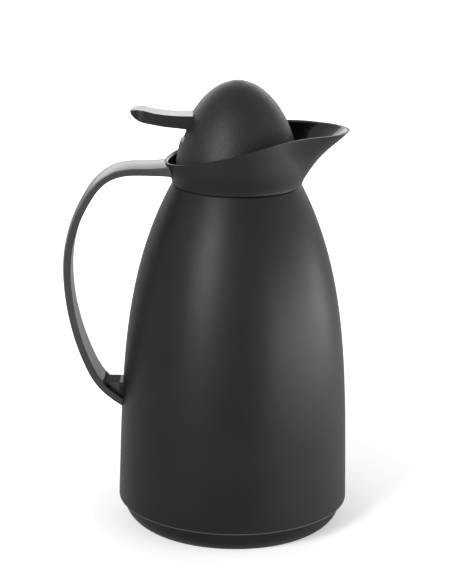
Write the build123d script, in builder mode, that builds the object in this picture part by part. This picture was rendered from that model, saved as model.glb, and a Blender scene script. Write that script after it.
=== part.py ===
from build123d import *
import os
from math import asin, cos, pi, radians, sin, sqrt, tan

os.makedirs("parts", exist_ok=True)

# A one-litre thermal carafe: a moulded outer shell over a glass vacuum liner,
# and a screw-in stopper whose thumb lever lifts a valve to pour.
# Millimetres, +Z up. The origin is the centre of the base on the table.
# The spout points along +X and the handle along -X.

# Outer shell: the seam is the line between the shell and the collar
body_radius = 70.0
foot_height = 13.2
seam_height = 208.6
neck_radius = 38.3
body_wall = 2.2
body_taper = 0.15
shoulder_power = 3.7
body_top_round = 1.2
body_lip_thickness = 3.4
body_lip_drop = 5.2

# Base cap: insets from the shell's radius, rises over the cap's joint with the shell
cap_edge_inset = 3.0
cap_foot_inset = 7.0
cap_belly_height = 4.0
cap_belly_inset = 2.6
cap_floor = 4.0
cap_floor_thickness = 2.5
cap_wall = 2.4
cap_skirt_inset = 1.6
cap_skirt_rise = 13.8
cap_lip_height = 1.8
foot_ring_width = 6.0
grip_bar_width = 12.0
cap_stop_thickness = 2.2
cap_stop_reach = 3.0

# Glass liner: room around and under it, and the drops from the seam to its lip,
# from its lip to its neck's foot, and from there to the top of its straight wall
liner_gap = 10.0
liner_lift = 11.0
glass_bottom_rise = 27.5
glass_lip_drop = 22.6
glass_neck_length = 14.0
glass_shoulder_drop = 60.0
glass_wall = 1.6
vacuum_gap = 5.5
glass_neck_growth = 1.5
glass_lip_width = 6.0
lip_thickness = 2.6
lip_round = 1.0
tip_radius = 3.0
tip_end_radius = 1.2
tip_length = 6.0
spacer_radius = 4.0
spacer_height = 70.0
spacer_count = 3

# Rubber under and over the liner
cushion_inner_radius = 21.0
cushion_inset = 13.0
gasket_height = 3.0
gasket_inset = 0.5
gasket_wall = 2.0
gasket_skirt = 6.0

# Collar and spout: rises over the seam, and walls from the neck inwards
collar_wall = 2.0
rim_slope = 15.5
rim_rise = 24.9
rim_arc_start = 12.0
rim_arc_radius = 125.0
rim_land = 0.5
# Height over the seam, growth of the ring, growth of the nose's reach, and how much
# smaller than the neck the nose is
collar_levels = [
    (0.0, 0.0, 0.3, 8.3),
    (4.5, 1.3, 2.1, 9.3),
    (11.8, 4.1, 6.8, 10.3),
    (19.0, 5.8, 12.7, 11.3),
    (25.0, 7.0, 19.2, 11.8),
    (31.4, 8.0, 26.4, 12.0),
    (38.0, 8.7, 31.2, 12.0),
]
funnel_rise = 4.0
throat_drop = 3.1
skirt_inset = 9.3
throat_wall = 3.0
seat_thickness = 2.0
seat_ledge = 4.0
lock_ring_height = 7.0
lock_ring_width = 8.0
lock_ring_notches = 6
lock_notch_width = 5.0
lock_notch_depth = 2.0

# Screw threads of the stopper and of the base cap
thread_lead = 24.0
thread_starts = 3
thread_root = 2.6
thread_crest = 1.6
thread_depth = 1.3
thread_foot = 0.2
throat_thread_turn = 90.0
plug_thread_turn = 60.0
throat_thread_rise = 6.6
cap_thread_lead = 12.0
cap_thread_turn = 80.0
cap_thread_rise = 7.8

# Handle: a strap with a straight run out of the collar, then tangent bends
strap_thickness = 4.0
strap_crown = 1.3
strap_corner = 0.6
strap_root_inset = 4.3
strap_bend_rise = 7.8
strap_slope = 2.135
strap_sink = 8.67
# Radius and turn of each bend
strap_bends = [(26.0, 51.5), (86.5, 38.0), (142.5, 24.0), (45.5, 46.0)]
# Strap widths at even steps along the middle line
strap_widths = [
    31.0, 28.7, 28.0, 28.0, 27.6, 26.8, 25.7, 24.4, 23.0, 21.8, 20.8,
    20.2, 20.6, 22.0, 23.6, 24.7, 25.1, 25.2, 25.0, 24.5, 24.0,
]
# Extra thickness where the strap runs into the collar, and its run-out
strap_root_growth = 5.0
strap_root_length = 18.0
gusset_width = 15.0
gusset_reach = 10.2
gusset_drop = 9.5
boss_rise = 3.5
boss_height = 10.9
boss_proud = 1.2
boss_width = 18.0
boss_round = 2.0

# Dome of the stopper
dome_inset = 1.9
dome_base_rise = 6.6
dome_rise = 54.6
dome_hem = 2.0
dome_wall = 2.2
dome_side_power = 1.943
dome_top_power = 1.835
slot_half_width = 11.0
slot_rise = 18.8
slot_height = 16.8
slot_corner = 1.5

# Stopper plug
thread_crest_play = 0.5
plug_nose_drop = 9.0
plug_flange_rise = 3.4
plug_flange_thickness = 1.5
plug_wall = 2.4
valve_seat_width = 6.5
valve_seat_thickness = 2.4
port_count = 6
port_width = 16.0
seal_side_play = 1.7
seal_thickness = 1.9

# Carrier, lever and valve
deck_thickness = 2.5
deck_play = 0.4
guide_radius = 7.5
guide_drop = 6.0
guide_rise = 4.0
ear_gap = 7.4
ear_play = 0.4
ear_thickness = 3.0
ear_foot = 9.0
pivot_inset = 21.4
pivot_rise = 12.0
pivot_boss = 4.2
pin_radius = 1.5
slot_play = 0.5
# Side outline of the thumb plate from the root over the tip and back, from the pivot
lever_top_line = [(-9.5, 3.9), (-19.0, 3.7), (-28.0, 4.2), (-36.0, 5.4), (-43.0, 6.6)]
lever_tip = (-48.3, 4.9)
lever_bottom_line = [
    (-44.6, 1.0),
    (-37.0, -1.4),
    (-28.0, -2.9),
    (-19.0, -3.7),
    (-13.0, -4.5),
    (-9.5, -5.0),
]
lever_tip_taper = 1.1
lever_edge_round = 0.8
fork_half_height = 3.4
fork_end = 3.6
fork_swing_room = 0.8
fork_slot_play = 0.35
stem_radius = 2.5
stem_head_radius = 4.0
stem_head_half = 3.6
stem_pin_drop = 2.0
valve_play = 2.5
valve_thickness = 2.5
valve_seal_thickness = 1.5
valve_seal_inset = 0.5
valve_seal_bore = 4.0
nut_height = 3.5
nut_across = 8.4
stem_tail = 0.8
spring_radius = 6.2
spring_wire = 0.7
spring_turns = 6

# Fasteners
lid_screw_inset = 9.4
lid_screw_count = 3
lid_screw_radius = 1.4
lid_screw_head = 2.7
lid_screw_head_height = 1.6
lid_screw_length = 12.0
lid_boss_radius = 4.0
lid_boss_web = 2.0
collar_screw_radius = 1.25
collar_screw_head = 2.6
collar_screw_head_height = 1.4
collar_screw_length = 15.0
collar_screw_rise = 8.4
foot_screw_radius = 2.0
foot_screw_head = 4.0
foot_screw_head_height = 2.4
foot_screw_rise = 5.5
foot_screw_length = 9.5
recess_share = 0.45

# Clearances
running_play = 0.06
pin_play = 0.02
moving_gap = 0.3
seat_gap = 0.15
seam_gap = 0.3

# Radii that follow from the neck's radius, from the shell inwards
mouth_radius = neck_radius - body_wall
skirt_radius = neck_radius - skirt_inset
throat_radius = skirt_radius - throat_wall
seat_bore = throat_radius - seat_ledge
lip_bore = skirt_radius + seat_gap
lock_ring_radius = skirt_radius + lock_ring_width
glass_neck_radius = skirt_radius + glass_neck_growth
glass_bore = glass_neck_radius - glass_lip_width
gasket_inner_radius = glass_bore + gasket_inset
plug_radius = throat_radius - thread_depth - thread_crest_play
seal_radius = throat_radius - seal_side_play
plug_nose_radius = seat_bore - 2 * moving_gap
chamber_radius = plug_nose_radius - plug_wall
seat_hole_radius = chamber_radius - valve_seat_width
valve_radius = chamber_radius - valve_play
valve_seal_radius = valve_radius - valve_seal_inset
dome_radius = neck_radius - dome_inset
deck_radius = dome_radius - dome_wall - deck_play
lid_screw_circle = dome_radius - lid_screw_inset
plug_flange_radius = lid_screw_circle + lid_screw_head + moving_gap
pivot_x = pivot_inset - dome_radius

# Radii that follow from the shell's radius
cap_radius = body_radius - cap_edge_inset
cap_foot_radius = cap_radius - cap_foot_inset
cap_skirt_radius = cap_radius - cap_skirt_inset
glass_radius = body_radius - liner_gap
inner_glass_radius = glass_radius - glass_wall - vacuum_gap
cushion_outer_radius = glass_radius - cushion_inset

# Heights that follow from the seam's, downwards and upwards
seam_top = seam_height - seam_gap
lip_top = seam_height - body_lip_drop
lip_bottom = lip_top - body_lip_thickness
glass_lip_height = seam_height - glass_lip_drop
lip_underside = glass_lip_height - lip_thickness
glass_neck_start = glass_lip_height - glass_neck_length
glass_shoulder = glass_neck_start - glass_shoulder_drop
throat_bottom = glass_lip_height + gasket_height
throat_top = seam_height - throat_drop
funnel_height = seam_height + funnel_rise
rim_height_at_axis = seam_height + rim_rise
seat_top = throat_bottom + seat_thickness
throat_thread_start = seat_top + throat_thread_rise
plug_shoulder = seat_top + seal_thickness + 2 * moving_gap
plug_bottom = seat_top - plug_nose_drop
plug_port_bottom = throat_top
plug_flange_bottom = seam_height + plug_flange_rise
plug_flange_top = plug_flange_bottom + plug_flange_thickness
deck_top = plug_flange_top + deck_thickness
guide_bottom = plug_flange_bottom - guide_drop
guide_top = deck_top + guide_rise
dome_base = seam_height + dome_base_rise
slot_bottom = dome_base + slot_rise
slot_top = slot_bottom + slot_height
pivot_z = slot_bottom + pivot_rise
stem_pin_z = pivot_z - stem_pin_drop
valve_seat_top = plug_bottom + valve_seat_thickness
seal_bottom = valve_seat_top + moving_gap
valve_bottom = seal_bottom + valve_seal_thickness
valve_top = valve_bottom + valve_thickness

# Heights that follow from the base cap's
cap_floor_top = cap_floor + cap_floor_thickness
cap_lip_top = foot_height + cap_lip_height
cap_height = foot_height + cap_skirt_rise
cap_stop_height = cap_height + seat_gap
cap_thread_start = foot_height + cap_thread_rise
glass_bottom = cap_floor_top + liner_lift
inner_glass_bottom = glass_bottom + glass_wall + vacuum_gap

# Sizes of the lever that follow from its neighbours
lever_neck_half_width = ear_gap - ear_play
lever_half_width = slot_half_width - slot_play
lever_tip_half_width = lever_half_width - lever_tip_taper
fork_gap = stem_head_radius + 2 * moving_gap
thread_offset = thread_root


def body_radius_at(height):
    # Outer radius of the shell: a light taper that rolls over into the shoulder
    share = (height - foot_height) / (seam_height - foot_height)
    share = min(max(share, 0.0), 1.0)
    drop = body_taper * share + (1 - body_taper) * share**shoulder_power
    return body_radius - (body_radius - neck_radius) * drop


def body_outline(inset, low, high, steps=9):
    # Points of the shell's outline from one height to another, moved inwards
    rise = (high - low) / (steps - 1)
    return [(body_radius_at(low + i * rise) - inset, low + i * rise) for i in range(steps)]


def dome_point(angle, inset):
    # A point of the egg outline: angle 0 is the hem, a quarter turn is the top
    reach = (dome_radius - inset) * cos(angle) ** (2 / dome_side_power)
    rise = (dome_rise - inset) * sin(angle) ** (2 / dome_top_power)
    return (reach, dome_base + rise)


def dome_half_outline(inset, bottom, steps=12):
    # Half of the dome's section, closed on the axis
    points = [dome_point(pi / 2 * i / steps, inset) for i in range(steps)]
    top = (0.0, dome_base + dome_rise - inset)
    with BuildLine() as outline:
        Polyline(top, (0, bottom), (dome_radius - inset, bottom), points[0])
        Spline(points + [top], tangents=((0, 1), (-1, 0)))
    return outline.line


def liner_half_outline(radius, bottom, neck, top):
    # Half of a bottle's section: round bottom, straight wall, soft shoulder, neck
    wall_start = glass_bottom + glass_bottom_rise
    with BuildLine() as outline:
        EllipticalCenterArc((0, wall_start), radius, wall_start - bottom, start_angle=270, arc_size=90)
        Line((radius, wall_start), (radius, glass_shoulder))
        Spline((radius, glass_shoulder), (neck, glass_neck_start), tangents=((0, 1), (0, 1)))
        Polyline((neck, glass_neck_start), (neck, top), (0, top), (0, bottom))
    return outline.line


def spout_outline(ring, reach, nose):
    # A ring and a smaller nose circle joined by their two tangents
    centre = reach - nose
    turn = asin((ring - nose) / centre)
    edge_x = sin(turn)
    edge_y = cos(turn)
    ring_up = (ring * edge_x, ring * edge_y)
    ring_down = (ring * edge_x, -ring * edge_y)
    nose_up = (centre + nose * edge_x, nose * edge_y)
    nose_down = (centre + nose * edge_x, -nose * edge_y)
    with BuildLine() as outline:
        ThreePointArc(ring_up, (-ring, 0), ring_down)
        Line(ring_down, nose_down)
        ThreePointArc(nose_down, (reach, 0), nose_up)
        Line(nose_up, ring_up)
    return outline.line


def spout_solid(inset):
    # The flared cup of the collar as one solid, before it is hollowed and its rim cut
    with BuildPart() as cup:
        for rise, flare, reach, nose_inset in collar_levels:
            ring = neck_radius + flare - inset
            nose = neck_radius - nose_inset - inset
            with BuildSketch(Plane.XY.offset(seam_height + rise)):
                add(spout_outline(ring, neck_radius + reach - inset, nose))
                make_face()
        loft()
    return cup.part


def thread_ridge(radius, outward, lead, start, turn, angle):
    # One helical ridge, standing out of a shaft or into a bore
    side = 1 if outward else -1
    root = radius - side * thread_foot
    crest = radius + side * thread_depth
    with BuildPart() as ridge:
        with BuildLine():
            coil = Helix(pitch=lead, height=lead * turn / 360, radius=radius)
        with BuildSketch(Plane.XZ):
            with BuildLine():
                Polyline(
                    (root, -thread_root / 2),
                    (crest, -thread_crest / 2),
                    (crest, thread_crest / 2),
                    (root, thread_root / 2),
                    close=True,
                )
            make_face()
        sweep(path=coil, is_frenet=True)
    return ridge.part.moved(Location((0, 0, start), (0, 0, angle)))


def cross_screw(head_radius, head_height, shank_radius, length, countersunk=False):
    # A screw along +Z with its head under the origin plane and a cross recess
    under_head = [(shank_radius, 0)] if countersunk else [(head_radius, 0), (shank_radius, 0)]
    slot = 2 * head_radius * recess_share
    with BuildPart() as screw:
        with BuildSketch(Plane.XZ):
            with BuildLine():
                Polyline(
                    [(0, -head_height), (head_radius, -head_height)]
                    + under_head
                    + [(shank_radius, length - shank_radius), (shank_radius / 2, length), (0, length)],
                    close=True,
                )
            make_face()
        revolve(axis=Axis.Z)
        with BuildSketch(Plane.XY.offset(-head_height)):
            Rectangle(2 * slot, slot / 2)
            Rectangle(slot / 2, 2 * slot)
        extrude(amount=head_height / 2, mode=Mode.SUBTRACT)
    return screw.part


def screw_hole(shank_radius, length, sink_radius=0.0, sink_depth=0.0, reach=0.0):
    # The room of a screw along +Z: its shank, and a countersink that opens past the head
    shaft = shank_radius + pin_play
    mouth = [(0, 0), (shaft, 0)]
    if sink_depth > 0:
        sink = sink_radius + pin_play
        mouth = [(0, -sink_depth - reach), (sink, -sink_depth - reach), (sink, -sink_depth), (shaft, 0)]
    with BuildPart() as hole:
        with BuildSketch(Plane.XZ):
            with BuildLine():
                Polyline(mouth + [(shaft, length + moving_gap), (0, length + moving_gap)], close=True)
            make_face()
        revolve(axis=Axis.Z)
    return hole.part


def collar_radius_at(height):
    # Outer radius of the collar's round part, between the two levels around the height
    rise = height - seam_height
    flare = collar_levels[-1][1]
    for low, high in zip(collar_levels, collar_levels[1:]):
        if low[0] <= rise <= high[0]:
            flare = low[1] + (high[1] - low[1]) * (rise - low[0]) / (high[0] - low[0])
    return neck_radius + flare


def strap_route(root, corner):
    # Middle line of the handle's strap: a straight run to the corner, then the bends
    with BuildLine(Plane.XZ) as route:
        run = Line(root, corner)
        for bend_radius, bend_turn in strap_bends:
            run = JernArc(start=run @ 1, tangent=run % 1, radius=bend_radius, arc_size=bend_turn)
    return route.wires()[0]


def save(piece, name):
    piece.part.label = name
    export_step(piece.part, f"parts/{name}.step")


# Where the strap bends and ends: its last bend runs into the shell, and a trial route
# from the axis tells how far below and beside the first bend that is
strap_fall = tan(radians(strap_slope))
strap_bend_z = seam_height + strap_bend_rise
trial_end = strap_route((1, strap_bend_z + strap_fall), (0, strap_bend_z)) @ 1
strap_bend_x = strap_sink - body_radius_at(trial_end.Z) - trial_end.X
strap_root_x = strap_root_inset - neck_radius
strap_root_z = strap_bend_z + strap_fall * (strap_root_x - strap_bend_x)
boss_bottom = trial_end.Z + boss_rise
gusset_top = boss_bottom + boss_height

# The two screws that hold the handle, both along -X: one sunk in the collar's wall,
# one with its head inside the shell
collar_screw_height = seam_height + collar_screw_rise
collar_inside = collar_radius_at(collar_screw_height) - collar_wall
collar_screw_face = sqrt(collar_inside**2 - collar_screw_head**2) + seat_gap
collar_screw_seat = collar_screw_face + collar_screw_head_height
collar_screw_place = Plane(origin=(-collar_screw_seat, 0, collar_screw_height), z_dir=(-1, 0, 0)).location
collar_screw_room = screw_hole(
    collar_screw_radius, collar_screw_length, collar_screw_head, collar_screw_head_height, collar_wall
).moved(collar_screw_place)
with BuildPart() as collar_screw:
    add(
        cross_screw(
            collar_screw_head, collar_screw_head_height, collar_screw_radius, collar_screw_length, True
        ).moved(collar_screw_place)
    )
save(collar_screw, "collar_screw")

foot_screw_height = boss_bottom + foot_screw_rise
shell_inner_at_screw = body_radius_at(foot_screw_height + foot_screw_head) - body_wall
foot_screw_seat = sqrt(shell_inner_at_screw**2 - foot_screw_head**2) - pin_play
foot_screw_place = Plane(origin=(-foot_screw_seat, 0, foot_screw_height), z_dir=(-1, 0, 0)).location
foot_screw_room = screw_hole(foot_screw_radius, foot_screw_length).moved(foot_screw_place)
with BuildPart() as foot_screw:
    add(
        cross_screw(
            foot_screw_head, foot_screw_head_height, foot_screw_radius, foot_screw_length
        ).moved(foot_screw_place)
    )
save(foot_screw, "foot_screw")

# Outer shell with its inner lip, the stop and thread for the base cap, and the handle's boss
shell_inside = body_outline(body_wall, foot_height, lip_bottom)
stop_wall = body_radius_at(cap_stop_height) - body_wall
cap_thread_wall = body_radius_at(cap_thread_start) - body_wall
boss_face = body_radius_at(boss_bottom) + boss_proud
boss_middle = boss_bottom + boss_height / 2

with BuildPart() as outer_body:
    with BuildSketch(Plane.XZ) as shell_section:
        with BuildLine():
            Spline(body_outline(0, foot_height, seam_top))
            Polyline(
                (body_radius_at(seam_top), seam_top),
                (mouth_radius, seam_top),
                (mouth_radius, lip_top),
                (lip_bore, lip_top),
                (lip_bore, lip_bottom),
                shell_inside[-1],
            )
            Spline(shell_inside[::-1])
            Line(shell_inside[0], (body_radius, foot_height))
        make_face()
        top_corner = shell_section.vertices().group_by(Axis.Y)[-1].sort_by(Axis.X)[-1]
        fillet(top_corner, radius=body_top_round)
        with Locations((stop_wall - cap_stop_reach, cap_stop_height)):
            Rectangle(cap_stop_reach + body_wall / 2, cap_stop_thickness, align=(Align.MIN, Align.MIN))
    revolve(axis=Axis.Z)
    for start in range(thread_starts):
        turn_to = start * 360 / thread_starts
        add(
            thread_ridge(
                cap_thread_wall, False, cap_thread_lead, cap_thread_start, cap_thread_turn, turn_to
            )
        )
    with BuildSketch(Plane.YZ.offset(-boss_face)):
        with Locations((0, boss_middle)):
            RectangleRounded(boss_width, boss_height, boss_round)
    extrude(amount=boss_proud + body_wall)
    add(foot_screw_room, mode=Mode.SUBTRACT)
save(outer_body, "outer_body")

# Base cap: a foot ring with a grip bar across it, and a threaded skirt inside the shell
with BuildPart() as base_cap:
    with BuildSketch(Plane.XZ):
        with BuildLine():
            Polyline(
                (0, cap_floor_top),
                (0, cap_floor),
                (cap_foot_radius - foot_ring_width, cap_floor),
                (cap_foot_radius - foot_ring_width, 0),
                (cap_foot_radius, 0),
            )
            ThreePointArc(
                (cap_foot_radius, 0),
                (cap_radius - cap_belly_inset, cap_belly_height),
                (cap_radius, foot_height),
            )
            Polyline(
                (cap_radius, foot_height),
                (cap_radius, cap_lip_top),
                (cap_skirt_radius, cap_lip_top),
                (cap_skirt_radius, cap_height),
                (cap_skirt_radius - cap_wall, cap_height),
                (cap_skirt_radius - cap_wall, cap_floor_top),
                (0, cap_floor_top),
            )
        make_face()
    revolve(axis=Axis.Z)
    with BuildSketch():
        Rectangle(2 * (cap_foot_radius - foot_ring_width) + foot_ring_width, grip_bar_width)
    extrude(amount=cap_floor)
    cap_ridge_start = cap_thread_start - thread_offset
    for start in range(thread_starts):
        turn_to = start * 360 / thread_starts
        add(
            thread_ridge(
                cap_skirt_radius, True, cap_thread_lead, cap_ridge_start, cap_thread_turn, turn_to
            )
        )
save(base_cap, "base_cap")

# Outer and inner glass of the liner, fused on the real one at the lip
with BuildPart() as glass_outer:
    with BuildSketch(Plane.XZ):
        with BuildLine():
            add(liner_half_outline(glass_radius, glass_bottom, glass_neck_radius, lip_underside))
        make_face()
        with BuildLine():
            add(
                liner_half_outline(
                    glass_radius - glass_wall,
                    glass_bottom + glass_wall,
                    glass_neck_radius - glass_wall,
                    lip_underside,
                )
            )
        make_face(mode=Mode.SUBTRACT)
        with BuildLine():
            Polyline(
                (0, glass_bottom + glass_wall / 2),
                (tip_radius, glass_bottom + glass_wall / 2),
                (tip_end_radius, glass_bottom - tip_length),
                (0, glass_bottom - tip_length),
                close=True,
            )
        make_face()
    revolve(axis=Axis.Z)
save(glass_outer, "glass_outer")

with BuildPart() as glass_inner:
    with BuildSketch(Plane.XZ) as inner_section:
        with BuildLine():
            add(
                liner_half_outline(
                    inner_glass_radius, inner_glass_bottom, glass_bore + glass_wall, glass_lip_height
                )
            )
        make_face()
        with Locations((glass_bore, lip_underside)):
            Rectangle(glass_neck_radius - glass_bore, lip_thickness, align=(Align.MIN, Align.MIN))
        with BuildLine():
            add(
                liner_half_outline(
                    inner_glass_radius - glass_wall,
                    inner_glass_bottom + glass_wall,
                    glass_bore,
                    glass_lip_height,
                )
            )
        make_face(mode=Mode.SUBTRACT)
        fillet(inner_section.vertices().group_by(Axis.Y)[-1], radius=lip_round)
    revolve(axis=Axis.Z)
save(glass_inner, "glass_inner")

# Pads that keep the two glass walls apart
spacer_inner_end = inner_glass_radius + seat_gap
spacer_outer_end = sqrt((glass_radius - glass_wall) ** 2 - spacer_radius**2) - seat_gap
with BuildPart() as liner_spacers:
    for turn in range(spacer_count):
        around = Plane.XY.rotated((0, 0, (turn + 0.5) * 360 / spacer_count))
        face_plane = Plane(
            origin=around.x_dir * spacer_inner_end + Vector(0, 0, spacer_height),
            x_dir=around.y_dir,
            z_dir=around.x_dir,
        )
        with BuildSketch(face_plane):
            Circle(spacer_radius)
        extrude(amount=spacer_outer_end - spacer_inner_end)
save(liner_spacers, "liner_spacers")

# Rubber ring that carries the liner on the base cap
with BuildPart() as liner_cushion:
    with BuildSketch(Plane.XZ):
        with Locations((cushion_inner_radius, cap_floor_top)):
            Rectangle(
                cushion_outer_radius - cushion_inner_radius,
                glass_bottom_rise,
                align=(Align.MIN, Align.MIN),
            )
        with BuildLine():
            add(
                liner_half_outline(
                    glass_radius + seat_gap, glass_bottom - seat_gap, glass_neck_radius, glass_lip_height
                )
            )
        make_face(mode=Mode.SUBTRACT)
    revolve(axis=Axis.Z)
save(liner_cushion, "liner_cushion")

# Gasket over the glass lip, pressed by the collar's skirt
gasket_outer_radius = glass_neck_radius + seat_gap + gasket_wall
with BuildPart() as neck_gasket:
    with BuildSketch(Plane.XZ):
        with BuildLine():
            Polyline(
                (gasket_inner_radius, glass_lip_height),
                (gasket_inner_radius, throat_bottom),
                (gasket_outer_radius, throat_bottom),
                (gasket_outer_radius, glass_lip_height - gasket_skirt),
                (glass_neck_radius + seat_gap, glass_lip_height - gasket_skirt),
                (glass_neck_radius + seat_gap, glass_lip_height),
                close=True,
            )
        make_face()
    revolve(axis=Axis.Z)
save(neck_gasket, "neck_gasket")

# Collar: flared cup with a pouring nose, funnel, threaded throat and skirt. The rim is
# sharp outside, so that it cuts the last drop, and rounded inside.
spigot_radius = mouth_radius - seat_gap
funnel_radius = neck_radius + collar_levels[1][1] - collar_wall
rim_back = -2 * neck_radius
rim_drop = tan(radians(rim_slope))
rim_top = seam_height + collar_levels[-1][0] + collar_wall

with BuildPart() as spout_collar:
    add(spout_solid(0))
    add(spout_solid(collar_wall), mode=Mode.SUBTRACT)
    with BuildSketch(Plane.XZ):
        with BuildLine():
            Polyline(
                (seat_bore, throat_bottom),
                (skirt_radius, throat_bottom),
                (skirt_radius, lip_top),
                (spigot_radius, lip_top),
                (spigot_radius, seam_height),
                (neck_radius, seam_height),
                (funnel_radius + collar_wall / 2, funnel_height),
                (funnel_radius, funnel_height),
                (throat_radius, throat_top),
                (throat_radius, seat_top),
                (seat_bore, seat_top),
                close=True,
            )
        make_face()
    revolve(axis=Axis.Z)
    for start in range(thread_starts):
        turn_to = start * 360 / thread_starts
        add(
            thread_ridge(
                throat_radius, False, thread_lead, throat_thread_start, throat_thread_turn, turn_to
            )
        )
    with BuildSketch(Plane.XZ) as rim_cut:
        with BuildLine():
            rim_line = Line(
                (rim_back, rim_height_at_axis + rim_back * rim_drop),
                (rim_arc_start, rim_height_at_axis + rim_arc_start * rim_drop),
            )
            rim_bend = JernArc(
                start=rim_line @ 1, tangent=rim_line % 1, radius=rim_arc_radius, arc_size=-rim_slope
            )
            Polyline(
                rim_bend @ 1,
                (2 * body_radius, (rim_bend @ 1).Y),
                (2 * body_radius, rim_top),
                (rim_back, rim_top),
                rim_line @ 0,
            )
        make_face()
    extrude(amount=body_radius, both=True, mode=Mode.SUBTRACT)
    rim_edges = (
        spout_collar.faces()
        .filter_by(lambda face: face.center().Z > plug_flange_top and face.normal_at().Z > 0.9)
        .edges()
        .filter_by(GeomType.LINE, reverse=True)
    )
    middle_of_wall = spout_solid(collar_wall / 2).solid()
    inner_rim_edges = rim_edges.filter_by(lambda edge: middle_of_wall.is_inside(edge @ 0.5))
    fillet(inner_rim_edges, radius=collar_wall - rim_land)
    add(collar_screw_room, mode=Mode.SUBTRACT)
save(spout_collar, "spout_collar")

# Ring nut under the shell's lip, notched for a spanner
with BuildPart() as collar_lock_ring:
    with BuildSketch(Plane.XY.offset(lip_bottom - lock_ring_height)):
        Circle(lock_ring_radius)
        Circle(skirt_radius + seat_gap, mode=Mode.SUBTRACT)
        with PolarLocations(lock_ring_radius, lock_ring_notches):
            Rectangle(2 * lock_notch_depth, lock_notch_width, mode=Mode.SUBTRACT)
    extrude(amount=lock_ring_height)
save(collar_lock_ring, "collar_lock_ring")

# Handle: a crowned strap lofted along its route, with a gusset at the foot
with BuildPart() as shell_envelope:
    with BuildSketch(Plane.XZ):
        with BuildLine():
            Spline(body_outline(-seat_gap, foot_height, seam_height))
            Polyline(
                (neck_radius + seat_gap, seam_height),
                (0, seam_height),
                (0, foot_height),
                (body_radius + seat_gap, foot_height),
            )
        make_face()
    revolve(axis=Axis.Z)

strap_path = strap_route((strap_root_x, strap_root_z), (strap_bend_x, strap_bend_z))
with BuildPart() as handle:
    for i, width in enumerate(strap_widths):
        share = i / (len(strap_widths) - 1)
        middle = strap_path.position_at(share)
        along = strap_path.tangent_at(share)
        root_share = max(1 - share * strap_path.length / strap_root_length, 0)
        half_thick = (strap_thickness + strap_root_growth * root_share**2) / 2
        with BuildSketch(Plane(origin=middle, x_dir=(0, -1, 0), z_dir=along)) as strap_section:
            with BuildLine():
                Polyline(
                    (width / 2, half_thick),
                    (width / 2, -half_thick),
                    (-width / 2, -half_thick),
                    (-width / 2, half_thick),
                )
                ThreePointArc(
                    (-width / 2, half_thick),
                    (0, half_thick + strap_crown),
                    (width / 2, half_thick),
                )
            make_face()
            fillet(strap_section.vertices(), radius=strap_corner)
    loft()
    with BuildSketch(Plane.XZ):
        with BuildLine():
            Polyline(
                (-boss_face, gusset_top),
                (-boss_face - gusset_reach, gusset_top),
                (-boss_face, gusset_top - gusset_drop),
                close=True,
            )
        make_face()
    extrude(amount=gusset_width / 2, both=True)
    add(shell_envelope.part, mode=Mode.SUBTRACT)
    add(spout_solid(-seat_gap), mode=Mode.SUBTRACT)
    with BuildSketch(Plane.YZ.offset(-boss_face)):
        with Locations((0, boss_middle)):
            RectangleRounded(boss_width + 2 * seat_gap, boss_height + 2 * seat_gap, boss_round)
    extrude(amount=boss_face, mode=Mode.SUBTRACT)
    add(collar_screw_room, mode=Mode.SUBTRACT)
    add(foot_screw_room, mode=Mode.SUBTRACT)
save(handle, "handle")

# Egg-shaped dome with the lever's slot at the back and bosses for the lid screws
lid_screw_tip = plug_flange_bottom + lid_screw_length
dome_hem_height = dome_base - dome_hem
with BuildPart() as dome_envelope:
    with BuildSketch(Plane.XZ):
        with BuildLine():
            add(dome_half_outline(dome_wall / 2, dome_hem_height))
        make_face()
    revolve(axis=Axis.Z)

with BuildPart() as dome_bosses:
    with BuildSketch(Plane.XY.offset(deck_top)):
        with PolarLocations(lid_screw_circle, lid_screw_count):
            Circle(lid_boss_radius)
        with PolarLocations((lid_screw_circle + dome_radius) / 2, lid_screw_count):
            Rectangle(dome_radius - lid_screw_circle, lid_boss_web)
    extrude(amount=dome_rise)
    add(dome_envelope.part, mode=Mode.INTERSECT)
    with BuildSketch(Plane.XY.offset(deck_top)):
        with PolarLocations(lid_screw_circle, lid_screw_count):
            Circle(lid_screw_radius + pin_play)
    extrude(amount=lid_screw_tip - deck_top + moving_gap, mode=Mode.SUBTRACT)

with BuildPart() as dome_cover:
    with BuildSketch(Plane.XZ):
        with BuildLine():
            add(dome_half_outline(0, dome_hem_height))
        make_face()
        with BuildLine():
            add(dome_half_outline(dome_wall, dome_hem_height))
        make_face(mode=Mode.SUBTRACT)
    revolve(axis=Axis.Z)
    add(dome_bosses.part)
    with BuildSketch(Plane.YZ.offset(-2 * dome_radius)):
        with Locations((0, (slot_top + slot_bottom) / 2)):
            RectangleRounded(2 * slot_half_width, slot_top - slot_bottom, slot_corner)
    extrude(amount=2 * dome_radius + pivot_x - pivot_boss, mode=Mode.SUBTRACT)
save(dome_cover, "dome_cover")

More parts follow.
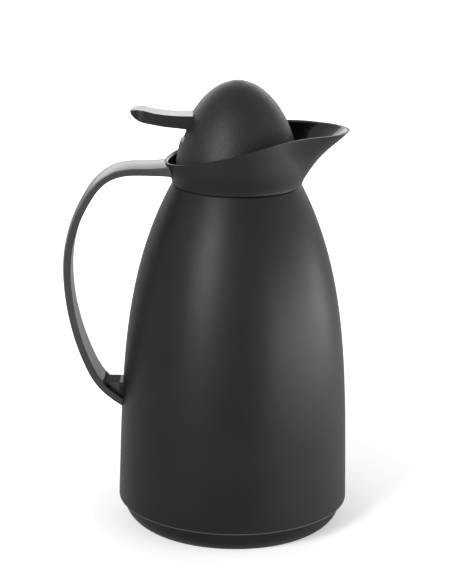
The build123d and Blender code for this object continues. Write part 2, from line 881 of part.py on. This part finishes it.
# Threaded plug: valve seat at the bottom, chamber, pouring ports and flange
with BuildPart() as stopper_plug:
    with BuildSketch(Plane.XZ):
        with BuildLine():
            Polyline(
                (seat_hole_radius, plug_bottom),
                (plug_nose_radius, plug_bottom),
                (plug_nose_radius, plug_shoulder),
                (plug_radius, plug_shoulder),
                (plug_radius, plug_flange_bottom),
                (plug_flange_radius, plug_flange_bottom),
                (plug_flange_radius, plug_flange_top),
                (chamber_radius, plug_flange_top),
                (chamber_radius, valve_seat_top),
                (seat_hole_radius, valve_seat_top),
                close=True,
            )
        make_face()
    revolve(axis=Axis.Z)
    with BuildSketch(Plane.XY.offset(plug_port_bottom)):
        with PolarLocations(plug_radius, port_count, start_angle=180 / port_count):
            Rectangle(2 * (plug_radius - chamber_radius) + port_width / 2, port_width)
    extrude(amount=plug_flange_bottom - plug_port_bottom, mode=Mode.SUBTRACT)
    with BuildSketch(Plane.XY.offset(plug_flange_bottom)):
        with PolarLocations(lid_screw_circle, lid_screw_count):
            Circle(lid_screw_radius + seat_gap)
    extrude(amount=plug_flange_thickness, mode=Mode.SUBTRACT)
    plug_ridge_lag = (throat_thread_turn - plug_thread_turn) / 2
    plug_ridge_start = throat_thread_start + thread_lead * plug_ridge_lag / 360 - thread_offset
    for start in range(thread_starts):
        turn_to = plug_ridge_lag + start * 360 / thread_starts
        add(
            thread_ridge(
                plug_radius, True, thread_lead, plug_ridge_start, plug_thread_turn, turn_to
            )
        )
save(stopper_plug, "stopper_plug")

# Ring that seals the plug's shoulder on the collar's seat; it rises but does not turn
with BuildPart() as stopper_seal:
    with BuildSketch(Plane.XY.offset(seat_top + moving_gap)):
        Circle(seal_radius)
        Circle(plug_nose_radius + moving_gap, mode=Mode.SUBTRACT)
    extrude(amount=seal_thickness)
save(stopper_seal, "stopper_seal")

# Deck that closes the plug, guides the stem and carries the lever between two ears
with BuildPart() as lever_carrier:
    with BuildSketch(Plane.XY.offset(plug_flange_top)):
        Circle(deck_radius)
    extrude(amount=deck_thickness)
    with BuildSketch(Plane.XY.offset(guide_bottom)):
        Circle(guide_radius)
    extrude(amount=guide_top - guide_bottom)
    with BuildSketch(Plane.XZ.offset(ear_gap)):
        with BuildLine():
            Polyline(
                (pivot_x - ear_foot, deck_top - deck_thickness / 2),
                (pivot_x + ear_foot, deck_top - deck_thickness / 2),
                (pivot_x + pivot_boss, pivot_z),
                (pivot_x - pivot_boss, pivot_z),
                close=True,
            )
        make_face()
        with Locations((pivot_x, pivot_z)):
            Circle(pivot_boss)
    extrude(amount=ear_thickness)
    mirror(about=Plane.XZ)
    with BuildSketch(Plane.XZ):
        with Locations((pivot_x, pivot_z)):
            Circle(pin_radius + pin_play)
    extrude(amount=dome_radius, both=True, mode=Mode.SUBTRACT)
    with BuildSketch(Plane.XY.offset(guide_bottom)):
        Circle(stem_radius + running_play)
        with PolarLocations(lid_screw_circle, lid_screw_count):
            Circle(lid_screw_radius + seat_gap)
    extrude(amount=guide_top - guide_bottom, mode=Mode.SUBTRACT)
save(lever_carrier, "lever_carrier")

# Thumb lever: a plate outside the dome, a neck on the pivot and a fork over the stem
plate_outline = [(pivot_x + x, pivot_z + z) for x, z in lever_top_line + [lever_tip] + lever_bottom_line]
plate_root_top = plate_outline[0]
plate_root_bottom = plate_outline[-1]
plate_tip_x = pivot_x + lever_tip[0]
tip_middle_x = plate_tip_x + lever_tip_half_width
with BuildPart() as thumb_plate:
    with BuildSketch(Plane.XZ):
        with BuildLine():
            Spline(plate_outline)
            Line(plate_root_bottom, plate_root_top)
        make_face()
    extrude(amount=lever_half_width, both=True)
    with BuildSketch(Plane.XY.offset(slot_bottom)):
        with BuildLine():
            Polyline(
                (tip_middle_x, -lever_tip_half_width),
                (plate_root_top[0], -lever_half_width),
                (plate_root_top[0], lever_half_width),
                (tip_middle_x, lever_tip_half_width),
            )
            ThreePointArc(
                (tip_middle_x, lever_tip_half_width),
                (plate_tip_x, 0),
                (tip_middle_x, -lever_tip_half_width),
            )
        make_face()
    extrude(amount=2 * (slot_top - slot_bottom), mode=Mode.INTERSECT)
    root_face = thumb_plate.faces().sort_by(Axis.X)[-1]
    side_edges = thumb_plate.edges().filter_by(lambda edge: edge not in root_face.edges())
    fillet(side_edges, radius=lever_edge_round)

with BuildPart() as lever:
    with BuildSketch(Plane.XZ):
        with BuildLine():
            Polyline(
                plate_root_top,
                (pivot_x, pivot_z + pivot_boss),
                (fork_end, stem_pin_z + fork_half_height),
                (fork_end, stem_pin_z - fork_half_height),
                (pivot_x, pivot_z - pivot_boss),
                plate_root_bottom,
                close=True,
            )
        make_face()
    extrude(amount=lever_neck_half_width, both=True)
    add(thumb_plate.part)
    with BuildSketch(Plane.XY.offset(slot_bottom)):
        with Locations((-fork_swing_room / 2, 0)):
            Rectangle(2 * fork_gap + fork_swing_room, 2 * fork_gap)
    extrude(amount=2 * (slot_top - slot_bottom), mode=Mode.SUBTRACT)
    with BuildSketch(Plane.XZ):
        with Locations((0, stem_pin_z)):
            SlotCenterToCenter(2 * fork_slot_play, 2 * (pin_radius + fork_slot_play))
        with Locations((pivot_x, pivot_z)):
            Circle(pin_radius + running_play)
    extrude(amount=lever_half_width, both=True, mode=Mode.SUBTRACT)
save(lever, "lever")

# Pin of the lever's pivot, fixed in the ears, and the pin that the fork lifts
with BuildPart() as lever_pin:
    with BuildSketch(Plane.XZ):
        with Locations((pivot_x, pivot_z)):
            Circle(pin_radius)
    extrude(amount=ear_gap + ear_thickness, both=True)
save(lever_pin, "lever_pin")

with BuildPart() as stem_pin:
    with BuildSketch(Plane.XZ):
        with Locations((0, stem_pin_z)):
            Circle(pin_radius)
    extrude(amount=lever_neck_half_width, both=True)
save(stem_pin, "stem_pin")

# Valve: a stem with a head over its cross pin, a disc, a rubber seal and a nut
with BuildPart() as valve_stem:
    with BuildSketch(Plane.XZ):
        with BuildLine():
            Polyline(
                (0, seal_bottom - nut_height - stem_tail),
                (stem_radius, seal_bottom - nut_height - stem_tail),
                (stem_radius, stem_pin_z - stem_head_half),
                (stem_head_radius, stem_pin_z - stem_head_half),
                (stem_head_radius, stem_pin_z + stem_head_half),
                (0, stem_pin_z + stem_head_half),
                close=True,
            )
        make_face()
    revolve(axis=Axis.Z)
    with BuildSketch(Plane.XZ):
        with Locations((0, stem_pin_z)):
            Circle(pin_radius + pin_play)
    extrude(amount=stem_head_radius, both=True, mode=Mode.SUBTRACT)
save(valve_stem, "valve_stem")

valve_hub_radius = valve_seal_bore - seat_gap
with BuildPart() as valve_disc:
    with BuildSketch(Plane.XZ):
        with BuildLine():
            Polyline(
                (stem_radius + pin_play, seal_bottom),
                (valve_hub_radius, seal_bottom),
                (valve_hub_radius, valve_bottom),
                (valve_radius, valve_bottom),
                (valve_radius, valve_top),
                (stem_radius + pin_play, valve_top),
                close=True,
            )
        make_face()
    revolve(axis=Axis.Z)
save(valve_disc, "valve_disc")

with BuildPart() as valve_seal:
    with BuildSketch(Plane.XY.offset(seal_bottom)):
        Circle(valve_seal_radius)
        Circle(valve_seal_bore, mode=Mode.SUBTRACT)
    extrude(amount=valve_seal_thickness)
save(valve_seal, "valve_seal")

with BuildPart() as valve_nut:
    with BuildSketch(Plane.XY.offset(seal_bottom - nut_height)):
        RegularPolygon(nut_across / 2, 6, major_radius=False)
        Circle(stem_radius + pin_play, mode=Mode.SUBTRACT)
    extrude(amount=nut_height)
save(valve_nut, "valve_nut")

# Spring that closes the valve and brings the lever back up
spring_bottom = valve_top + seat_gap + spring_wire
spring_height = guide_bottom - seat_gap - spring_wire - spring_bottom
with BuildPart() as return_spring:
    with BuildLine():
        coil = Helix(
            pitch=spring_height / spring_turns,
            height=spring_height,
            radius=spring_radius,
            center=(0, 0, spring_bottom),
        )
    with BuildSketch(Plane(origin=coil @ 0, z_dir=coil % 0)):
        Circle(spring_wire)
    sweep(path=coil, is_frenet=True)
save(return_spring, "return_spring")

# Screws from under the plug's flange, through the carrier, into the dome's bosses
with BuildPart() as lid_screws:
    with PolarLocations(lid_screw_circle, lid_screw_count):
        add(cross_screw(lid_screw_head, lid_screw_head_height, lid_screw_radius, lid_screw_length))
lid_screws.part.locate(Location((0, 0, plug_flange_bottom)))
save(lid_screws, "lid_screws")
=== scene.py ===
import math

import bpy
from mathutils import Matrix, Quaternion, Vector

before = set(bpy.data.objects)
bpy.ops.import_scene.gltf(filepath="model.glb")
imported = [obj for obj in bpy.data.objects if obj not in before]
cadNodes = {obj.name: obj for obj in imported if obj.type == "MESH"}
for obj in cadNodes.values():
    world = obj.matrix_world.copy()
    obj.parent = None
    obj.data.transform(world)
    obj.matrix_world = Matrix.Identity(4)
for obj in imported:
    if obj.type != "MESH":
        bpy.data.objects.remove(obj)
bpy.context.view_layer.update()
print("frame loaded,", len(cadNodes), "pieces")

# The part of a noise's span that is spread over its two colours, or over its two values
noiseSpan = {"colours": (0.32, 0.68), "values": (0.3, 0.7)}


def startMaterial(name):
    material = bpy.data.materials.new(name)
    material.use_nodes = True
    tree = material.node_tree
    place = tree.nodes.new("ShaderNodeTexCoord").outputs["Object"]
    return material, tree, tree.nodes["Principled BSDF"], place


def setInputs(node, values):
    for name, value in values.items():
        node.inputs[name].default_value = value


def addNoise(tree, place, scale, detail, roughness=0.55, stretch=None):
    # Noise in the piece's own space, stretched along an axis where asked
    if stretch:
        mapping = tree.nodes.new("ShaderNodeMapping")
        mapping.inputs["Scale"].default_value = stretch
        tree.links.new(place, mapping.inputs["Vector"])
        place = mapping.outputs["Vector"]
    noise = tree.nodes.new("ShaderNodeTexNoise")
    setInputs(noise, {"Scale": scale, "Detail": detail, "Roughness": roughness})
    tree.links.new(place, noise.inputs["Vector"])
    return noise.outputs["Fac"]


def addRange(tree, value, target, source=(0.0, 1.0)):
    spread = tree.nodes.new("ShaderNodeMapRange")
    setInputs(spread, {
        "From Min": source[0], "From Max": source[1],
        "To Min": target[0], "To Max": target[1],
    })
    tree.links.new(value, spread.inputs["Value"])
    return spread.outputs["Result"]


def addMath(tree, operation, first, second):
    # The second value is a socket or a plain number
    node = tree.nodes.new("ShaderNodeMath")
    node.operation = operation
    tree.links.new(first, node.inputs[0])
    if isinstance(second, float):
        node.inputs[1].default_value = second
    else:
        tree.links.new(second, node.inputs[1])
    return node.outputs["Value"]


def colourBy(tree, shader, noise, look):
    blend = tree.nodes.new("ShaderNodeValToRGB")
    colours = (look["dark"], look["light"])
    for end, position, colour in zip(blend.color_ramp.elements, noiseSpan["colours"], colours):
        end.position = position
        end.color = (*colour, 1)
    tree.links.new(noise, blend.inputs["Fac"])
    tree.links.new(blend.outputs["Color"], shader.inputs["Base Color"])


def roughenBy(tree, shader, noise, look):
    rough = addRange(tree, noise, look["roughness"], noiseSpan["values"])
    tree.links.new(rough, shader.inputs["Roughness"])


def addBump(tree, shader, heights):
    # Stacks height maps: each entry is a noise, a depth in metres and a strength
    normal = None
    for height, depth, strength in heights:
        bump = tree.nodes.new("ShaderNodeBump")
        setInputs(bump, {"Distance": depth, "Strength": strength})
        tree.links.new(height, bump.inputs["Height"])
        if normal:
            tree.links.new(normal, bump.inputs["Normal"])
        normal = bump.outputs["Normal"]
    tree.links.new(normal, shader.inputs["Normal"])


def dress(names, material):
    for name in names:
        mesh = cadNodes[name].data
        mesh.materials.clear()
        mesh.materials.append(material)


def paintFaces(name, material, isChosen):
    # Gives the chosen faces of a dressed piece a second material
    mesh = cadNodes[name].data
    mesh.materials.append(material)
    for face in mesh.polygons:
        if isChosen(face):
            face.material_index = 1


# Moulded plastic has a second, finer grain within the first, and a slow ripple under both
grainMix = {
    "fineScale": 3.1,
    "fineDepth": 0.4,
    "fineStrength": 0.6,
    "grainStrength": 0.7,
    "rippleStrength": 0.5,
}


def mouldedPlastic(name, look):
    # Dark moulded plastic: spark-eroded grain, slow mottling of colour, cloudy gloss
    material, tree, shader, place = startMaterial(name)
    fineScale = look["grainScale"] * grainMix["fineScale"]
    fineDepth = look["grainDepth"] * grainMix["fineDepth"]
    clouds = addNoise(tree, place, look["cloudScale"], detail=4.0)
    grain = addNoise(tree, place, look["grainScale"], detail=2.0, roughness=0.6)
    fine = addNoise(tree, place, fineScale, detail=1.0, roughness=0.5)
    ripple = addNoise(tree, place, look["rippleScale"], detail=1.0, roughness=0.4)
    colourBy(tree, shader, clouds, look)
    cloudy = addRange(tree, clouds, look["roughness"], noiseSpan["values"])
    sparkling = addRange(tree, fine, (-look["sparkle"], look["sparkle"]), noiseSpan["values"])
    tree.links.new(addMath(tree, "ADD", cloudy, sparkling), shader.inputs["Roughness"])
    shader.inputs["Specular IOR Level"].default_value = look["specular"]
    addBump(tree, shader, [
        (ripple, look["rippleDepth"], grainMix["rippleStrength"]),
        (grain, look["grainDepth"], grainMix["grainStrength"]),
        (fine, fineDepth, grainMix["fineStrength"]),
    ])
    return material


# Outer shell and base cap: matte charcoal with a fine even grain
shellLook = {
    "dark": (0.0048, 0.0048, 0.0050),
    "light": (0.0068, 0.0068, 0.0070),
    "cloudScale": 28.0,
    "grainScale": 1500.0,
    "grainDepth": 0.00006,
    "rippleScale": 55.0,
    "rippleDepth": 0.00012,
    "roughness": (0.40, 0.45),
    "sparkle": 0.03,
    "specular": 0.19,
}
# Painted highlight: the band of heights and the pale colour of the line painted along the
# shell's lower edge
edgeHighlightLook = {"heights": (0.0132, 0.0138), "colour": (0.10, 0.10, 0.102)}


def paintEdgeHighlight(material, look):
    # Paints a highlight on the shell's lower edge: a thin pale line in the base colour where
    # the edge would catch the light
    tree = material.node_tree
    shader = tree.nodes["Principled BSDF"]
    plain = shader.inputs["Base Color"].links[0].from_socket
    place = tree.nodes.new("ShaderNodeTexCoord")
    parts = tree.nodes.new("ShaderNodeSeparateXYZ")
    tree.links.new(place.outputs["Object"], parts.inputs["Vector"])
    blend = tree.nodes.new("ShaderNodeMixRGB")
    blend.inputs["Color2"].default_value = (*look["colour"], 1)
    tree.links.new(addRange(tree, parts.outputs["Z"], (1.0, 0.0), look["heights"]),
                   blend.inputs["Fac"])
    tree.links.new(plain, blend.inputs["Color1"])
    tree.links.new(blend.outputs["Color"], shader.inputs["Base Color"])
    return material


# The outer shell carries the painted highlight along its lower edge
dress(["outer_body"], paintEdgeHighlight(mouldedPlastic("grainedShell", shellLook), edgeHighlightLook))
dress(["base_cap"], mouldedPlastic("grainedBase", shellLook))
print("shell dressed")

# Collar: the shell's plastic outside, smoother and glossier where the drink runs
collarLook = dict(
    shellLook,
    rippleScale=70.0,
    roughness=(0.44, 0.49),
    specular=0.23,
    spineEnd=0.038,
    turnedIn=-0.25,
)
spoutLook = {
    "dark": (0.006, 0.006, 0.0062),
    "light": (0.009, 0.009, 0.0092),
    "cloudScale": 40.0,
    "grainScale": 1200.0,
    "grainDepth": 0.00001,
    "rippleScale": 90.0,
    "rippleDepth": 0.00010,
    "roughness": (0.08, 0.12),
    "sparkle": 0.01,
    "specular": 0.32,
}


def isPouringSide(face):
    # The inside looks at the line from the ring's centre to the nose's centre
    spineReach = min(max(face.center.x, 0), collarLook["spineEnd"])
    outward = face.center - Vector((spineReach, 0, face.center.z))
    return face.normal.dot(outward.normalized()) < collarLook["turnedIn"]


dress(["spout_collar"], mouldedPlastic("grainedCollar", collarLook))
paintFaces("spout_collar", mouldedPlastic("smoothSpout", spoutLook), isPouringSide)
print("collar dressed")

# Handle: a little lighter and smoother than the shell, from use
handleLook = dict(
    shellLook,
    dark=(0.011, 0.011, 0.0113),
    light=(0.014, 0.014, 0.0143),
    grainDepth=0.00004,
    roughness=(0.27, 0.33),
    specular=0.56,
)
# The block's top: rougher and less glossy than the handle, with a darker colour painted on as
# shade
shadedBlockLook = dict(
    handleLook,
    dark=(0.005, 0.005, 0.0052),
    light=(0.008, 0.008, 0.0082),
    roughness=(0.6, 0.7),
    specular=0.05,
    topHeights=(0.083, 0.088),
    topReach=-0.079,
    turnedUp=0.4,
)


def isShadedBlockTop(face):
    # The top of the block at the strap's foot is grained and matte, and its darker colour is
    # painted shade that keeps it dark
    low, high = shadedBlockLook["topHeights"]
    onBlock = low < face.center.z < high and face.center.x > shadedBlockLook["topReach"]
    return onBlock and face.normal.z > shadedBlockLook["turnedUp"]


dress(["handle"], mouldedPlastic("satinHandle", handleLook))
paintFaces("handle", mouldedPlastic("grainedShadedBlock", shadedBlockLook), isShadedBlockTop)

# Dome: coarser grain than the shell
domeLook = dict(
    shellLook,
    dark=(0.0050, 0.0050, 0.0052),
    light=(0.0075, 0.0075, 0.0077),
    grainScale=1000.0,
    grainDepth=0.00030,
    roughness=(0.40, 0.46),
    specular=0.28,
)
dress(["dome_cover"], mouldedPlastic("grainedDome", domeLook))

# Thumb lever: smooth black with a soft gloss
leverLook = dict(
    spoutLook,
    dark=(0.007, 0.007, 0.0072),
    light=(0.010, 0.010, 0.0102),
    grainDepth=0.00002,
    rippleDepth=0.00006,
    roughness=(0.24, 0.30),
    specular=0.24,
)
dress(["lever"], mouldedPlastic("glossLever", leverLook))

# Hidden mouldings of the stopper, and the ring nut
innerLook = dict(
    shellLook,
    dark=(0.030, 0.030, 0.031),
    light=(0.042, 0.042, 0.043),
    grainDepth=0.00003,
    roughness=(0.36, 0.44),
)
dress(["stopper_plug", "lever_carrier", "valve_disc", "valve_nut", "collar_lock_ring"],
      mouldedPlastic("stopperPlastic", innerLook))
print("handle and stopper dressed")

# Silvered glass of the liner, smudged and a little wavy
glassLook = {
    "dark": (0.66, 0.69, 0.72),
    "light": (0.80, 0.82, 0.84),
    "smudgeScale": 14.0,
    "roughness": (0.03, 0.09),
    "waveScale": 22.0,
    "waveDepth": 0.0004,
    "waveStrength": 0.4,
    "coatWeight": 0.6,
    "coatRoughness": 0.02,
}


def silveredGlass(name, look):
    material, tree, shader, place = startMaterial(name)
    smudges = addNoise(tree, place, look["smudgeScale"], detail=5.0)
    waves = addNoise(tree, place, look["waveScale"], detail=1.0)
    colourBy(tree, shader, smudges, look)
    roughenBy(tree, shader, smudges, look)
    setInputs(shader, {
        "Metallic": 1.0,
        "Coat Weight": look["coatWeight"],
        "Coat Roughness": look["coatRoughness"],
    })
    addBump(tree, shader, [(waves, look["waveDepth"], look["waveStrength"])])
    return material


dress(["glass_outer", "glass_inner"], silveredGlass("silveredGlass", glassLook))

# Pads between the glass walls: pressed mineral fibre
padLook = {
    "dark": (0.42, 0.38, 0.31),
    "light": (0.66, 0.62, 0.53),
    "roughness": 0.95,
    "fibreScale": 900.0,
    "fibreStretch": (1, 1, 0.25),
    "fibreDepth": 0.0003,
    "fibreStrength": 0.8,
}


def pressedFibre(name, look):
    material, tree, shader, place = startMaterial(name)
    fibres = addNoise(tree, place, look["fibreScale"], detail=4.0, roughness=0.7,
                      stretch=look["fibreStretch"])
    colourBy(tree, shader, fibres, look)
    shader.inputs["Roughness"].default_value = look["roughness"]
    addBump(tree, shader, [(fibres, look["fibreDepth"], look["fibreStrength"])])
    return material


dress(["liner_spacers"], pressedFibre("mineralFibre", padLook))

# Rubber: black for the liner's cushion and gasket, grey silicone for the stopper's seals
rubberLook = {
    "dark": (0.014, 0.014, 0.015),
    "light": (0.028, 0.028, 0.03),
    "roughness": (0.6, 0.8),
    "sheen": 0.1,
    "dustScale": 120.0,
    "poreScale": 1400.0,
    "poreDepth": 0.00005,
    "poreStrength": 0.6,
}
siliconeLook = dict(
    rubberLook,
    dark=(0.36, 0.36, 0.35),
    light=(0.46, 0.46, 0.44),
    roughness=(0.38, 0.5),
    poreDepth=0.00002,
)


def softRubber(name, look):
    material, tree, shader, place = startMaterial(name)
    dust = addNoise(tree, place, look["dustScale"], detail=4.0)
    pores = addNoise(tree, place, look["poreScale"], detail=2.0)
    colourBy(tree, shader, dust, look)
    roughenBy(tree, shader, dust, look)
    shader.inputs["Sheen Weight"].default_value = look["sheen"]
    addBump(tree, shader, [(pores, look["poreDepth"], look["poreStrength"])])
    return material


dress(["liner_cushion", "neck_gasket"], softRubber("blackRubber", rubberLook))
dress(["stopper_seal", "valve_seal"], softRubber("greySilicone", siliconeLook))
print("liner and seals dressed")

# Steel: turned pins and stem, drawn spring wire, zinc-plated screws
stemLook = {
    "dark": (0.50, 0.50, 0.50),
    "light": (0.68, 0.68, 0.67),
    "roughness": (0.22, 0.34),
    "lineScale": 260.0,
    "lineStretch": (1, 1, 14),
    "lineDepth": 0.00003,
    "lineStrength": 0.5,
}
wireLook = dict(
    stemLook,
    dark=(0.40, 0.40, 0.39),
    light=(0.56, 0.55, 0.53),
    lineStretch=(3, 3, 3),
)
screwLook = dict(
    stemLook,
    dark=(0.55, 0.55, 0.54),
    light=(0.72, 0.71, 0.68),
    roughness=(0.18, 0.36),
    lineStretch=(2, 2, 2),
    lineScale=500.0,
)


def turnedSteel(name, look):
    material, tree, shader, place = startMaterial(name)
    marks = addNoise(tree, place, look["lineScale"], detail=3.0, roughness=0.6,
                     stretch=look["lineStretch"])
    colourBy(tree, shader, marks, look)
    roughenBy(tree, shader, marks, look)
    shader.inputs["Metallic"].default_value = 1.0
    addBump(tree, shader, [(marks, look["lineDepth"], look["lineStrength"])])
    return material


dress(["valve_stem", "stem_pin", "lever_pin"], turnedSteel("turnedSteel", stemLook))
dress(["return_spring"], turnedSteel("springWire", wireLook))
dress(["lid_screws", "collar_screw", "foot_screw"], turnedSteel("zincScrew", screwLook))
print("steel dressed")

# Pale floor whose far part goes white, lifted for the camera alone
floorLook = {
    "size": 8.0,
    "colour": (0.90, 0.90, 0.90),
    "roughness": 0.9,
    "specular": 0.1,
    "lift": (0.33, 0.85),
    "liftReach": (0.085, 1.20),
    "liftCurve": 0.45,
}


def makeFloor(look):
    bpy.ops.mesh.primitive_plane_add(size=look["size"], location=(0, 0, 0))
    floor = bpy.context.object
    floor.name = "floor"
    material, tree, shader, place = startMaterial("paleFloor")
    setInputs(shader, {
        "Base Color": (*look["colour"], 1),
        "Roughness": look["roughness"],
        "Specular IOR Level": look["specular"],
    })
    away = tree.nodes.new("ShaderNodeVectorMath")
    away.operation = "LENGTH"
    tree.links.new(place, away.inputs[0])
    reach = addRange(tree, away.outputs["Value"], (0.0, 1.0), look["liftReach"])
    curve = addMath(tree, "POWER", reach, look["liftCurve"])
    path = tree.nodes.new("ShaderNodeLightPath")
    lift = tree.nodes.new("ShaderNodeEmission")
    tree.links.new(path.outputs["Is Camera Ray"], lift.inputs["Color"])
    tree.links.new(addRange(tree, curve, look["lift"]), lift.inputs["Strength"])
    both = tree.nodes.new("ShaderNodeAddShader")
    tree.links.new(shader.outputs["BSDF"], both.inputs[0])
    tree.links.new(lift.outputs["Emission"], both.inputs[1])
    tree.links.new(both.outputs["Shader"], tree.nodes["Material Output"].inputs["Surface"])
    floor.data.materials.append(material)


# White where the camera, a reflection or a clear material sees it, softer as a light
worldLook = {"colour": (1, 1, 1, 1), "fill": 0.25, "seenLevel": 1.0}


def makeWorld(look):
    world = bpy.data.worlds.new("studio")
    bpy.context.scene.world = world
    world.use_nodes = True
    tree = world.node_tree
    back = tree.nodes["Background"]
    back.inputs["Color"].default_value = look["colour"]
    path = tree.nodes.new("ShaderNodeLightPath")
    seen = path.outputs["Is Camera Ray"]
    for ray in ("Is Glossy Ray", "Is Transmission Ray"):
        seen = addMath(tree, "MAXIMUM", seen, path.outputs[ray])
    level = addRange(tree, seen, (look["fill"], look["seenLevel"]))
    tree.links.new(level, back.inputs["Strength"])


makeFloor(floorLook)
makeWorld(worldLook)

# Soft boxes: one beside the camera on the left, one at the right, one over the back
lampLooks = [
    {
        "name": "softLeft", "azimuth": -36, "height": 0.72, "distance": 1.5,
        "size": (0.50, 1.0), "power": 25.0,
    },
    {
        "name": "softRight", "azimuth": 76, "height": 0.08, "distance": 0.75,
        "size": (1.25, 0.30), "power": 11.3,
    },
    {
        "name": "softBack", "azimuth": 180, "height": 0.75, "distance": 1.5,
        "size": (2.4, 0.8), "power": 11.0,
    },
]
lampAim = Vector((0, 0, 0.14))


def makeLamp(look):
    data = bpy.data.lights.new(look["name"], "AREA")
    data.shape = "RECTANGLE"
    data.size, data.size_y = look["size"]
    data.energy = look["power"]
    lamp = bpy.data.objects.new(look["name"], data)
    bpy.context.scene.collection.objects.link(lamp)
    turn = math.radians(look["azimuth"])
    away = look["distance"]
    lamp.location = (math.sin(turn) * away, -math.cos(turn) * away, look["height"])
    lamp.rotation_mode = "QUATERNION"
    lamp.rotation_quaternion = (lampAim - lamp.location).to_track_quat("-Z", "Y")
    lamp.visible_camera = False


for lampLook in lampLooks:
    makeLamp(lampLook)
print("studio made")

# Camera at the photograph's place
cameraLook = {
    "place": (0.0, -1.07048, 0.44043),
    "aim": (-0.00556, 0.0, 0.14123),
    "roll": 0.01334,
    "lens": 113.68,
    "sensor": 36.0,
}


def makeCamera(look):
    data = bpy.data.cameras.new("camera")
    data.sensor_width = look["sensor"]
    data.lens = look["lens"]
    camera = bpy.data.objects.new("camera", data)
    bpy.context.scene.collection.objects.link(camera)
    camera.location = look["place"]
    camera.rotation_mode = "QUATERNION"
    facing = (Vector(look["aim"]) - Vector(look["place"])).to_track_quat("-Z", "Y")
    camera.rotation_quaternion = facing @ Quaternion((0, 0, 1), look["roll"])
    bpy.context.scene.camera = camera


makeCamera(cameraLook)
bpy.context.scene.view_settings.view_transform = "Standard"
print("camera made")
